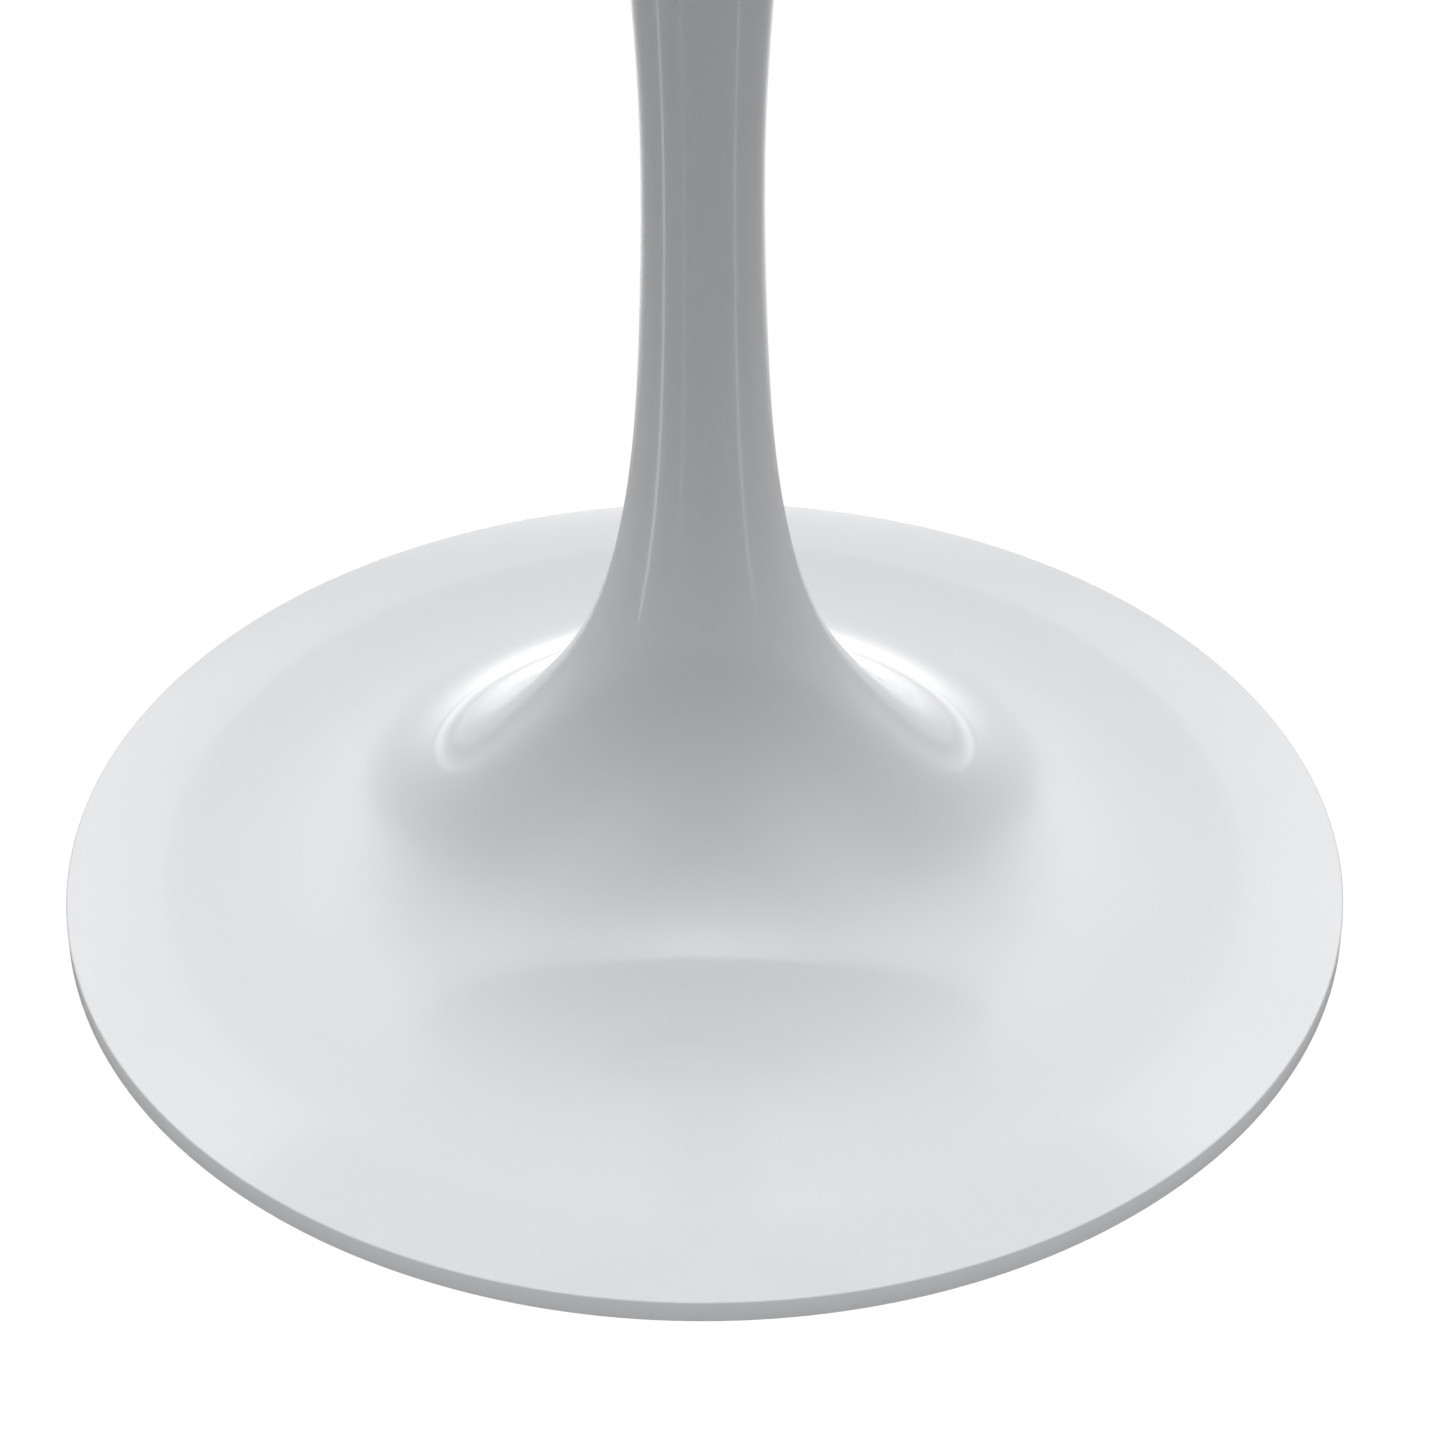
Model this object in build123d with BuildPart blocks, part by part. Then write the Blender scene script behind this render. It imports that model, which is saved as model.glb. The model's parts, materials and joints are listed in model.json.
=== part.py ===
from build123d import *
import os

# Round pedestal table: a trumpet-shaped metal pedestal, weighted inside, under a lacquered round top.
# Millimetres, +Z up, origin on the floor under the middle of the table. Its feet rest on z = 0.

# the pedestal's outside
rimRadius = 285  # half the width of the foot disc
rimGap = 2  # from the floor to the rim's lower edge
rimTop = 12.8  # height of the rim's upper edge
rimWidth = 4  # thickness of the rim's upright wall
rimRound = 0.9  # rounding of the rim's outer edges
bandRadius = 241  # where the outer band meets the trumpet curve
bandHeight = 18.2
bandBlend = 2.4  # length of the soft blend on either side of that line
waistRadius = 25.7  # the slimmest part of the stem
waistHeight = 350
mouthHeight = 703.5  # upper end of the stem
wall = 3  # thickness of the casting

# the trumpet's outline from the band, in over the foot, up the stem and out to the mouth
bandDirection = Vector(bandRadius - rimRadius, bandHeight - rimTop).normalized()
footDirection = Vector(-1, 0.05).normalized()
mouthDirection = Vector(0.8, 1).normalized()
blendStart = Vector(bandRadius, bandHeight) - bandDirection * bandBlend
blendEnd = Vector(bandRadius, bandHeight) + footDirection * bandBlend
trumpetPoints = [
    blendEnd,
    (195, 20.9),
    (160, 27.2),
    (133, 38.9),
    (110.5, 56),
    (86.7, 82),
    (61.3, 118),
    (43.4, 160),
    (33.4, 205),
    (27.7, 265),
    (waistRadius, waistHeight),
    (26.2, 390),
    (29.1, 442),
    (40, 560),
    (62, 650),
    (99, 708),
]

# the table top
tableHeight = 735
topRadius = 508
topThickness = 25
topEdgeHeight = 10  # upright part of the top's edge
topBevelWidth = 50  # the underside slopes up to the edge over this width
topEdgeRound = 2.5

# the plate under the top, its screws and the threaded inserts that take them
plateRadius = 160
plateThickness = 5
plateEdgeBreak = 1
topScrewCount = 8
topScrewCircle = 135
topScrewShank = 3
topScrewHead = 5.25
topScrewHeadHeight = 3.3
topScrewLength = 20
topScrewSocket = 4
topWasherRadius = 6.25
topWasherThickness = 1.6
insertRadius = 5
insertFlange = 6.5
insertLength = 13

# the hub under that plate, which centres it on the stem's mouth
hubRadius = 17
hubBottom = 672
centringRadius = 80
centringBottom = 693
centringTop = 698
gasketInner = 91
gasketOuter = 94.5

# the tie rod down the middle of the stem, with its nuts and washers
rodRadius = 6
rodBottom = 8
rodTop = 704
rodHole = 6.8
rodNutFlats = 19
rodNutHeight = 10
jamNutHeight = 6
lowerWasherRadius = 18
lowerWasherThickness = 3
springWasherRadius = 10.5
springWasherThickness = 2.5
springWasherSplit = 2

# the weight inside the foot
ballastRadius = 262
ballastBottom = 4.5
ballastTop = 55  # height of its hub
nutRecessRadius = 22
nutRecessTop = 26
ballastScrewCount = 6
ballastScrewCircle = 150
ballastScrewShank = 4
ballastScrewHead = 6.5
ballastScrewHeadHeight = 3.2
ballastScrewLength = 13
ballastScrewSocket = 5
ballastWasherRadius = 8
ballastWasherThickness = 1.6
ballastSeat = 9.5  # roof of the stepped hole that holds a screw's head and washer
bossRadius = 9  # bosses inside the casting, which the screws go into
bossBottom = 13
bossThreadDepth = 9

# the cover under the weight
coverBottom = 3
coverRadius = 279
coverFootHole = 15
coverScrewCount = 6
coverScrewCircle = 252
coverScrewStart = 15
coverScrewShank = 2
coverScrewHead = 4
coverScrewSocket = 2.5
coverScrewTip = 8.5
capFlange = 25
capFlangeBottom = 2
capPlug = 21.9
capWall = 1.5
capTop = 9

# the four levelling feet
footCount = 4
footCircle = 230
footStart = 45
padRadius = 13
padHeight = 3
padEdgeBreak = 0.6
studRadius = 4
studTop = 14.2
collarFlats = 13
collarTop = 4.5
socketRadius = 5  # the disc on the stud's end that the pad turns on
socketBottom = 1.2
socketTop = 2.2
bushRadius = 7
bushTop = 13.5
bushFlange = 9.5
bushFlangeTop = 6

# rings of holes and screws: radius, count and angle of the first
ballastScrewRing = (ballastScrewCircle, ballastScrewCount, 0)
coverScrewRing = (coverScrewCircle, coverScrewCount, coverScrewStart)
topScrewRing = (topScrewCircle, topScrewCount, 0)
footRing = (footCircle, footCount, footStart)

# clearances
threadClearance = 0.05  # between a screw and its thread
holeClearance = 0.5  # round a screw that passes through a plate

plateTop = tableHeight - topThickness
plateBottom = plateTop - plateThickness
bandSlope = (bandHeight - rimTop) / (rimRadius - bandRadius)
outerCurve = Spline(*trumpetPoints, tangents=[footDirection, mouthDirection])

os.makedirs("parts", exist_ok=True)


def save(piece, name):
    """Labels a finished piece and writes its STEP file."""
    piece.part.label = name
    export_step(piece.part, f"parts/{name}.step")


def insetPoints(depth, count=14):
    """Points along the trumpet's outline, moved square to it into the metal."""
    points = []
    for step in range(count + 1):
        share = step / count
        along = outerCurve % share
        points.append(outerCurve @ share + Vector(-along.Y, along.X) * depth)
    return points


def turned(points):
    """A turned solid: a closed outline of (radius, height) points spun about the Z axis."""
    with BuildPart() as solid:
        with BuildSketch(Plane.XZ):
            with BuildLine():
                Polyline(*points, close=True)
            make_face()
        revolve(axis=Axis.Z)
    return solid.part


def posts(radius, bottom, top, ring):
    """A ring of round posts, from one height to another."""
    with BuildPart() as solids:
        with BuildSketch(Plane.XY.offset(bottom)):
            with PolarLocations(*ring):
                Circle(radius)
        extrude(amount=top - bottom)
    return solids.part


def hexagon(acrossFlats, bottom, top):
    """A hexagonal prism about the Z axis."""
    with BuildPart() as prism:
        with BuildSketch(Plane.XY.offset(bottom)):
            RegularPolygon(acrossFlats / 2, 6, major_radius=False)
        extrude(amount=top - bottom)
    return prism.part


def socketScrew(shank, head, headHeight, length, socket):
    """A socket screw that points up, with the face under its head at z = 0."""
    outline = [
        (0, -headHeight),
        (head * 0.85, -headHeight),
        (head, -headHeight * 0.75),
        (head, 0),
        (shank, 0),
        (shank, length - shank * 0.3),
        (shank * 0.7, length),
        (0, length),
    ]
    with BuildPart() as screw:
        add(turned(outline))
        add(hexagon(socket, -headHeight, -headHeight * 0.45), mode=Mode.SUBTRACT)
    return screw.part


def grouped(part, ring, height=0):
    """A group of separate copies of one part, evenly spaced on a ring."""
    with BuildPart(Plane.XY.offset(height)) as group:
        with PolarLocations(*ring):
            add(part)
    return group


# the pedestal: one seamless casting of rim, foot, stem and mouth, hollow inside
with BuildPart() as bosses:
    with BuildSketch(Plane.XY.offset(bossBottom)):
        with PolarLocations(*ballastScrewRing):
            Circle(bossRadius)
    extrude(amount=waistHeight)
    with BuildSketch(Plane.XZ):
        middleOfWall = insetPoints(wall / 2)
        with BuildLine():
            Spline(*middleOfWall)
            Polyline(middleOfWall[-1], (0, middleOfWall[-1].Y), (0, 0), (bandRadius, 0), middleOfWall[0])
        make_face()
    revolve(axis=Axis.Z, mode=Mode.INTERSECT)

with BuildPart() as pedestalShell:
    with BuildSketch(Plane.XZ):
        innerCurve = insetPoints(wall)
        rimInner = rimRadius - rimWidth
        rimInnerTop = rimTop + bandSlope * rimWidth - wall
        with BuildLine():
            Polyline((rimInner, rimGap), (rimRadius, rimGap), (rimRadius, rimTop), blendStart)
            TangentArc(blendStart, blendEnd, tangent=bandDirection)
            Spline(*trumpetPoints, tangents=[footDirection, mouthDirection])
            Line(trumpetPoints[-1], innerCurve[-1])
            Spline(*innerCurve)
            Polyline(innerCurve[0], (rimInner, rimInnerTop), (rimInner, rimGap))
        make_face()
    revolve(axis=Axis.Z)
    split(bisect_by=Plane.XY.offset(mouthHeight), keep=Keep.BOTTOM)
    rimEdges = edges().filter_by(GeomType.CIRCLE).filter_by(lambda edge: abs(edge.radius - rimRadius) < 0.01)
    fillet(rimEdges, rimRound)
    add(bosses.part)
    threadTop = bossBottom + bossThreadDepth
    add(posts(ballastScrewShank + threadClearance, bossBottom, threadTop, ballastScrewRing), mode=Mode.SUBTRACT)
save(pedestalShell, "pedestal_shell")

# the weight: a cast iron plate that fills the foot, with a hub that the tie rod passes through
with BuildPart() as ballastPlate:
    outline = [
        (rodHole, nutRecessTop),
        (nutRecessRadius, nutRecessTop),
        (nutRecessRadius, ballastBottom),
        (ballastRadius, ballastBottom),
        (ballastRadius, 9),
        (242, 11),
        (170, 12.5),
        (120, 17),
        (70, 24),
        (36, ballastTop - 3),
        (33, ballastTop),
        (rodHole, ballastTop),
    ]
    add(turned(outline))
    # flat seats for the bosses, and stepped holes for the screws that come up from below
    add(posts(bossRadius + 1.5, bossBottom, ballastTop, ballastScrewRing), mode=Mode.SUBTRACT)
    add(posts(ballastScrewShank + holeClearance, 0, ballastTop, ballastScrewRing), mode=Mode.SUBTRACT)
    add(posts(ballastWasherRadius + 1, 0, ballastSeat, ballastScrewRing), mode=Mode.SUBTRACT)
    # stepped holes for the bushes of the feet
    add(posts(bushRadius, 0, ballastTop, footRing), mode=Mode.SUBTRACT)
    add(posts(bushFlange, 0, bushFlangeTop, footRing), mode=Mode.SUBTRACT)
    # threaded holes for the cover's screws
    add(posts(coverScrewShank + threadClearance, 0, coverScrewTip + 0.5, coverScrewRing), mode=Mode.SUBTRACT)
save(ballastPlate, "ballast_plate")

ballastScrew = socketScrew(
    ballastScrewShank, ballastScrewHead, ballastScrewHeadHeight, ballastScrewLength, ballastScrewSocket
)
ballastScrewSeat = ballastSeat - ballastWasherThickness
ballastScrews = grouped(ballastScrew, ballastScrewRing, ballastScrewSeat)
save(ballastScrews, "ballast_screws")

with BuildPart() as ballastWashers:
    with BuildSketch(Plane.XY.offset(ballastScrewSeat)):
        with PolarLocations(*ballastScrewRing):
            Circle(ballastWasherRadius)
            Circle(ballastScrewShank + threadClearance, mode=Mode.SUBTRACT)
    extrude(amount=ballastWasherThickness)
save(ballastWashers, "ballast_washers")

# the cover: a thin steel disc over the weight, with holes for the feet and for the rod's nut
with BuildPart() as bottomCover:
    outline = [
        (nutRecessRadius, coverBottom),
        (coverRadius, coverBottom),
        (coverRadius, ballastBottom),
        (nutRecessRadius, ballastBottom),
    ]
    add(turned(outline))
    add(posts(coverFootHole, 0, ballastBottom, footRing), mode=Mode.SUBTRACT)
    with BuildPart(mode=Mode.PRIVATE) as countersink:
        outline = [
            (0, coverBottom),
            (coverScrewHead, coverBottom),
            (coverScrewHead - (ballastBottom - coverBottom), ballastBottom),
            (0, ballastBottom),
        ]
        add(turned(outline))
    with PolarLocations(*coverScrewRing):
        add(countersink.part, mode=Mode.SUBTRACT)
save(bottomCover, "bottom_cover")

with BuildPart() as coverScrew:
    outline = [
        (0, coverBottom),
        (coverScrewHead, coverBottom),
        (coverScrewHead - (ballastBottom - coverBottom), ballastBottom),
        (coverScrewShank, ballastBottom),
        (coverScrewShank, coverScrewTip - 0.6),
        (coverScrewShank - 0.6, coverScrewTip),
        (0, coverScrewTip),
    ]
    add(turned(outline))
    add(hexagon(coverScrewSocket, coverBottom, ballastBottom), mode=Mode.SUBTRACT)
coverScrews = grouped(coverScrew.part, coverScrewRing)
save(coverScrews, "cover_screws")

# the plastic cap over the hole that the rod's nut is reached through
with BuildPart() as accessCap:
    outline = [
        (0, capFlangeBottom),
        (capFlange - 0.6, capFlangeBottom),
        (capFlange, capFlangeBottom + 0.4),
        (capFlange, coverBottom),
        (capPlug, coverBottom),
        (capPlug, capTop),
        (capPlug - capWall, capTop),
        (capPlug - capWall, coverBottom + 0.6),
        (0, coverBottom + 0.6),
    ]
    add(turned(outline))
save(accessCap, "access_cap")

# the tie rod, which pulls the plate under the top down onto the stem's mouth
with BuildPart() as tieRod:
    outline = [
        (0, rodBottom),
        (rodRadius - 1, rodBottom),
        (rodRadius, rodBottom + 1),
        (rodRadius, rodTop - 1),
        (rodRadius - 1, rodTop),
        (0, rodTop),
    ]
    add(turned(outline))
save(tieRod, "tie_rod")


def rodNut(bottom, height):
    """A hexagonal nut on the tie rod."""
    with BuildPart() as nut:
        add(hexagon(rodNutFlats, bottom, bottom + height))
        with BuildSketch(Plane.XY.offset(bottom)):
            Circle(rodRadius + threadClearance)
        extrude(amount=height, mode=Mode.SUBTRACT)
    return nut


springWasherTop = nutRecessTop - lowerWasherThickness
lowerNutTop = springWasherTop - springWasherThickness
lowerNut = rodNut(lowerNutTop - rodNutHeight, rodNutHeight)
save(lowerNut, "lower_nut")
upperJamNut = rodNut(hubBottom - jamNutHeight, jamNutHeight)
save(upperJamNut, "upper_jam_nut")

with BuildPart() as lowerWasher:
    with BuildSketch(Plane.XY.offset(springWasherTop)):
        Circle(lowerWasherRadius)
        Circle(rodRadius + holeClearance, mode=Mode.SUBTRACT)
    extrude(amount=lowerWasherThickness)
save(lowerWasher, "lower_washer")

with BuildPart() as springWasher:
    with BuildSketch(Plane.XY.offset(lowerNutTop)):
        Circle(springWasherRadius)
        Circle(rodRadius + holeClearance, mode=Mode.SUBTRACT)
        with Locations((springWasherRadius, 0)):
            Rectangle(springWasherRadius, springWasherSplit, mode=Mode.SUBTRACT)
    extrude(amount=springWasherThickness)
save(springWasher, "spring_washer")

# the rubber ring between the stem's mouth and the plate above it
with BuildPart() as mouthGasket:
    with BuildSketch(Plane.XY.offset(mouthHeight)):
        Circle(gasketOuter)
        Circle(gasketInner, mode=Mode.SUBTRACT)
    extrude(amount=plateBottom - mouthHeight)
save(mouthGasket, "mouth_gasket")

# the hub: a threaded boss with a disc that centres it inside the mouth
with BuildPart() as plateHub:
    outline = [
        (rodRadius + threadClearance, hubBottom),
        (hubRadius, hubBottom),
        (hubRadius, centringBottom - 4),
        (hubRadius + 4, centringBottom),
        (centringRadius - 3, centringBottom),
        (centringRadius, centringTop),
        (hubRadius + 4, centringTop),
        (hubRadius + 4, plateBottom),
        (rodRadius + threadClearance, plateBottom),
    ]
    add(turned(outline))
save(plateHub, "plate_hub")

# the round steel plate that the top is screwed to
with BuildPart() as topPlate:
    outline = [
        (0, plateBottom),
        (plateRadius - plateEdgeBreak, plateBottom),
        (plateRadius, plateBottom + plateEdgeBreak),
        (plateRadius, plateTop),
        (0, plateTop),
    ]
    add(turned(outline))
    add(posts(topScrewShank + holeClearance, plateBottom, plateTop, topScrewRing), mode=Mode.SUBTRACT)
save(topPlate, "top_plate")

topScrew = socketScrew(topScrewShank, topScrewHead, topScrewHeadHeight, topScrewLength, topScrewSocket)
topScrewSeat = plateBottom - topWasherThickness
topScrews = grouped(topScrew, topScrewRing, topScrewSeat)
save(topScrews, "top_screws")

with BuildPart() as topScrewWashers:
    with BuildSketch(Plane.XY.offset(topScrewSeat)):
        with PolarLocations(*topScrewRing):
            Circle(topWasherRadius)
            Circle(topScrewShank + threadClearance, mode=Mode.SUBTRACT)
    extrude(amount=topWasherThickness)
save(topScrewWashers, "top_screw_washers")

# threaded inserts in the top, flush with its underside
with BuildPart() as topInsert:
    outline = [
        (topScrewShank + threadClearance, plateTop),
        (insertFlange, plateTop),
        (insertFlange, plateTop + 1),
        (insertRadius, plateTop + 1),
        (insertRadius, plateTop + insertLength),
        (topScrewShank + threadClearance, plateTop + insertLength),
    ]
    add(turned(outline))
topInserts = grouped(topInsert.part, topScrewRing)
save(topInserts, "top_inserts")

# the top: a lacquered board with an undercut edge
with BuildPart() as tableTop:
    with BuildSketch(Plane.XZ):
        with BuildLine():
            Polyline(
                (0, plateTop),
                (topRadius - topBevelWidth, plateTop),
                (topRadius, tableHeight - topEdgeHeight),
                (topRadius, tableHeight),
                (0, tableHeight),
                close=True,
            )
        make_face()
        fillet(vertices().group_by(Axis.X)[-1], topEdgeRound)
    revolve(axis=Axis.Z)
    add(posts(insertRadius, plateTop, plateTop + insertLength + 1, topScrewRing), mode=Mode.SUBTRACT)
    add(posts(insertFlange, plateTop, plateTop + 1, topScrewRing), mode=Mode.SUBTRACT)
save(tableTop, "table_top")

# the feet: a nylon pad that turns on the end of a threaded stud, which screws into a bush in the weight
with BuildPart() as footBush:
    outline = [
        (studRadius + threadClearance, collarTop),
        (bushFlange, collarTop),
        (bushFlange, bushFlangeTop),
        (bushRadius, bushFlangeTop),
        (bushRadius, bushTop),
        (studRadius + threadClearance, bushTop),
    ]
    add(turned(outline))
footBushes = grouped(footBush.part, footRing)
save(footBushes, "foot_bushes")

with BuildPart() as footStud:
    outline = [
        (0, socketBottom),
        (socketRadius, socketBottom),
        (socketRadius, socketTop),
        (studRadius, socketTop),
        (studRadius, studTop - 1),
        (studRadius - 1, studTop),
        (0, studTop),
    ]
    add(turned(outline))
    add(hexagon(collarFlats, padHeight, collarTop))

with BuildPart() as footPad:
    outline = [
        (0, 0),
        (padRadius - padEdgeBreak, 0),
        (padRadius, padEdgeBreak),
        (padRadius, padHeight - padEdgeBreak),
        (padRadius - padEdgeBreak, padHeight),
        (studRadius + threadClearance, padHeight),
        (studRadius + threadClearance, socketTop + threadClearance),
        (socketRadius + threadClearance, socketTop + threadClearance),
        (socketRadius + threadClearance, socketBottom),
        (0, socketBottom),
    ]
    add(turned(outline))

for number in range(footCount):
    angle = footStart + 360 / footCount * number
    with BuildPart() as placedPad:
        with PolarLocations(footCircle, 1, start_angle=angle):
            add(footPad.part)
    save(placedPad, f"foot_pad_{number + 1}")
    with BuildPart() as placedStud:
        with PolarLocations(footCircle, 1, start_angle=angle):
            add(footStud.part)
    save(placedStud, f"foot_stud_{number + 1}")
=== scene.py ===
import bpy
import bmesh
import json
import math
from mathutils import Matrix, Vector


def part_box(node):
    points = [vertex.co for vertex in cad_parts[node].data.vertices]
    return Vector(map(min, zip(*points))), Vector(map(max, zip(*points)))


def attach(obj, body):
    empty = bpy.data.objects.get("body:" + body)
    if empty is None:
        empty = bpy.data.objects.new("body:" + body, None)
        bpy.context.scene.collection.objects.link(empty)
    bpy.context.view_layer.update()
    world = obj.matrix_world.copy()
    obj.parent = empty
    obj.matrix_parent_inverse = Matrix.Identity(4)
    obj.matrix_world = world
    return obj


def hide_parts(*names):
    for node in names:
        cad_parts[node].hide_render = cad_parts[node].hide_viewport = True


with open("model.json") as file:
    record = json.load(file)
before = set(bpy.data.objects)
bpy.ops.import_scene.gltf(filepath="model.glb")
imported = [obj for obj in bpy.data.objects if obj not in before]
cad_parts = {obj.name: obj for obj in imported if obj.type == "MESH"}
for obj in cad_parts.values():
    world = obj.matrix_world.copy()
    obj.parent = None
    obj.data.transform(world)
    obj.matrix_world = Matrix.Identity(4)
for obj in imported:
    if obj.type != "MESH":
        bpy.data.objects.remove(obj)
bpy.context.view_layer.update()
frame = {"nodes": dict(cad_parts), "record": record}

nodes = frame["nodes"]
record = frame["record"]
print("frame loaded:", len(nodes), "nodes")


# camera

camera = {
    "away": 1.5562,  # from the stem's axis, along -Y
    "height": 1.2483,
    "pitch": 36.71,  # degrees below level
    "turn": -0.291,  # a little to the right of the stem
    "lens": 110.15,
    "sensor": 36.0,
}


def addCamera(c):
    data = bpy.data.cameras.new("camera")
    data.sensor_width = c["sensor"]
    data.lens = c["lens"]
    data.clip_end = 60
    cam = bpy.data.objects.new("camera", data)
    cam.location = (0, -c["away"], c["height"])
    cam.rotation_euler = (math.radians(90 - c["pitch"]), 0, math.radians(c["turn"]))
    bpy.context.scene.collection.objects.link(cam)
    bpy.context.scene.camera = cam


addCamera(camera)
print("camera placed")


# small helpers for node trees

def newMaterial(name):
    mat = bpy.data.materials.new(name)
    mat.use_nodes = True
    tree = mat.node_tree
    tree.nodes.clear()
    return mat, tree


def addNode(tree, kind, **settings):
    node = tree.nodes.new(kind)
    for key, value in settings.items():
        setattr(node, key, value)
    return node


def setInputs(node, **values):  # an underscore stands for a space in the socket's name
    for key, value in values.items():
        node.inputs[key.replace("_", " ")].default_value = value


def calculate(tree, operation, a, b=None, clamp=False):  # a and b are numbers or outputs of other nodes
    node = addNode(tree, "ShaderNodeMath", operation=operation, use_clamp=clamp)
    for socket, value in zip(node.inputs, (a, b)):
        if isinstance(value, (int, float)):
            socket.default_value = value
        elif value is not None:
            tree.links.new(value, socket)
    return node.outputs[0]


def coordinates(tree, scale=(1, 1, 1)):
    coord = addNode(tree, "ShaderNodeTexCoord")
    mapping = addNode(tree, "ShaderNodeMapping", vector_type="TEXTURE")
    mapping.inputs["Scale"].default_value = scale
    tree.links.new(coord.outputs["Object"], mapping.inputs["Vector"])
    return mapping.outputs["Vector"]


def newGroup(name, inputs, outputs):
    group = bpy.data.node_groups.new(name, "ShaderNodeTree")
    for socket, kind, value in inputs:
        made = group.interface.new_socket(socket, in_out="INPUT", socket_type=kind)
        if value is not None:
            made.default_value = value
    for socket, kind in outputs:
        group.interface.new_socket(socket, in_out="OUTPUT", socket_type=kind)
    return group, addNode(group, "NodeGroupInput"), addNode(group, "NodeGroupOutput")


def placeGroup(tree, group, **values):
    node = addNode(tree, "ShaderNodeGroup", node_tree=group)
    for key, value in values.items():
        node.inputs[key].default_value = value
    return node


# effects that several finishes share

def makeOrangePeel():  # the fine ripple and slow waviness of sprayed lacquer, as a height
    group, start, end = newGroup(
        "orangePeel",
        [("Vector", "NodeSocketVector", None), ("Ripple", "NodeSocketFloat", 0.5),
         ("Waviness", "NodeSocketFloat", 0.5)],
        [("Height", "NodeSocketFloat")])
    fine = addNode(group, "ShaderNodeTexNoise")
    setInputs(fine, Scale=420.0, Detail=2.0, Roughness=0.45)
    slow = addNode(group, "ShaderNodeTexNoise")
    setInputs(slow, Scale=9.0, Detail=1.0, Roughness=0.4)
    fineHeight = calculate(group, "MULTIPLY", fine.outputs["Fac"], start.outputs["Ripple"])
    slowHeight = calculate(group, "MULTIPLY", slow.outputs["Fac"], start.outputs["Waviness"])
    links = group.links
    links.new(start.outputs["Vector"], fine.inputs["Vector"])
    links.new(start.outputs["Vector"], slow.inputs["Vector"])
    links.new(calculate(group, "ADD", fineHeight, slowHeight), end.inputs["Height"])
    return group


def makeDustVeil():  # a thin, patchy veil of dust on faces that look up, as a mask
    group, start, end = newGroup(
        "dustVeil",
        [("Vector", "NodeSocketVector", None), ("Amount", "NodeSocketFloat", 0.3)],
        [("Mask", "NodeSocketFloat")])
    patches = addNode(group, "ShaderNodeTexNoise")
    setInputs(patches, Scale=14.0, Detail=6.0, Roughness=0.6)
    specks = addNode(group, "ShaderNodeTexNoise")
    setInputs(specks, Scale=900.0, Detail=2.0, Roughness=0.5)
    geometry = addNode(group, "ShaderNodeNewGeometry")
    split = addNode(group, "ShaderNodeSeparateXYZ")
    up = addNode(group, "ShaderNodeMapRange")
    setInputs(up, From_Min=0.55, From_Max=1.0)
    patchy = addNode(group, "ShaderNodeMapRange")
    setInputs(patchy, From_Min=0.42, From_Max=0.72)
    speckled = addNode(group, "ShaderNodeMapRange")
    setInputs(speckled, From_Min=0.45, From_Max=0.75)
    onTop = calculate(group, "MULTIPLY", up.outputs["Result"], patchy.outputs["Result"])
    dotted = calculate(group, "MULTIPLY", onTop, speckled.outputs["Result"])
    mask = calculate(group, "MULTIPLY", dotted, start.outputs["Amount"], clamp=True)
    links = group.links
    links.new(start.outputs["Vector"], patches.inputs["Vector"])
    links.new(start.outputs["Vector"], specks.inputs["Vector"])
    links.new(geometry.outputs["Normal"], split.inputs["Vector"])
    links.new(split.outputs["Z"], up.inputs["Value"])
    links.new(patches.outputs["Fac"], patchy.inputs["Value"])
    links.new(specks.outputs["Fac"], speckled.inputs["Value"])
    links.new(mask, end.inputs["Mask"])
    return group


def makeMottle():  # two colours in soft clouds, and a roughness that goes with them
    group, start, end = newGroup(
        "mottle",
        [("Vector", "NodeSocketVector", None), ("Scale", "NodeSocketFloat", 40.0),
         ("Light", "NodeSocketColor", None), ("Dark", "NodeSocketColor", None),
         ("Smooth", "NodeSocketFloat", 0.3), ("Rough", "NodeSocketFloat", 0.5)],
        [("Color", "NodeSocketColor"), ("Roughness", "NodeSocketFloat")])
    clouds = addNode(group, "ShaderNodeTexNoise")
    setInputs(clouds, Detail=5.0, Roughness=0.6)
    contrast = addNode(group, "ShaderNodeMapRange")
    setInputs(contrast, From_Min=0.3, From_Max=0.7)
    colour = addNode(group, "ShaderNodeMix", data_type="RGBA")
    rough = addNode(group, "ShaderNodeMix", data_type="FLOAT")
    links = group.links
    links.new(start.outputs["Vector"], clouds.inputs["Vector"])
    links.new(start.outputs["Scale"], clouds.inputs["Scale"])
    links.new(clouds.outputs["Fac"], contrast.inputs["Value"])
    links.new(contrast.outputs["Result"], colour.inputs["Factor"])
    links.new(start.outputs["Dark"], colour.inputs["A"])
    links.new(start.outputs["Light"], colour.inputs["B"])
    links.new(contrast.outputs["Result"], rough.inputs["Factor"])
    links.new(start.outputs["Rough"], rough.inputs["A"])
    links.new(start.outputs["Smooth"], rough.inputs["B"])
    links.new(colour.outputs["Result"], end.inputs["Color"])
    links.new(rough.outputs["Result"], end.inputs["Roughness"])
    return group


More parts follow.
